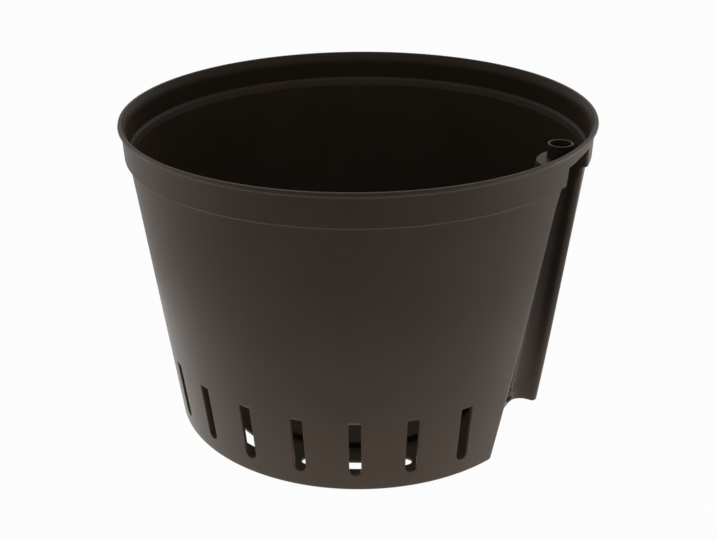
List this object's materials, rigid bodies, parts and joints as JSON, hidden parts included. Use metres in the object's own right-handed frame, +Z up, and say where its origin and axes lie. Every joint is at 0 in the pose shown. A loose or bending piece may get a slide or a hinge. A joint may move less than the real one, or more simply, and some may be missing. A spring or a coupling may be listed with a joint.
{
  "type": "hydroculture pot",
  "caption": "Tapered culture pot with a banded rim, slotted foot and slit floor, and a side channel whose collar holds a float water gauge with a rising pin.",
  "frame": {"origin": "centre of the pot's base, on the surface that it stands on", "axes": "+Z up along the pot's axis, +X through the middle of the gauge channel"},
  "size_m": [0.28, 0.28, 0.19],
  "materials": {
    "pot_plastic": "satin moulded polypropylene, dark brown",
    "gauge_clear": "clear extruded tube",
    "gauge_dark": "moulded, near black",
    "indicator_red": "moulded, red"
  },
  "bodies": {
    "pot": {"pot_wall": "pot_plastic", "rim_band": "pot_plastic", "floor_plate": "pot_plastic", "gauge_channel": "pot_plastic", "gauge_collar": "pot_plastic", "gauge_tube": "gauge_clear", "gauge_head": "gauge_dark", "gauge_foot": "gauge_dark"},
    "float": {"gauge_float": "gauge_dark", "float_rod": "gauge_dark", "indicator_pin": "indicator_red"}
  },
  "joints": [
    {"name": "float_travel", "type": "slide", "parent": "pot", "child": "float", "axis": [0.1507, 0, 0.9886], "range_m": [0, 0.04]}
  ]
}
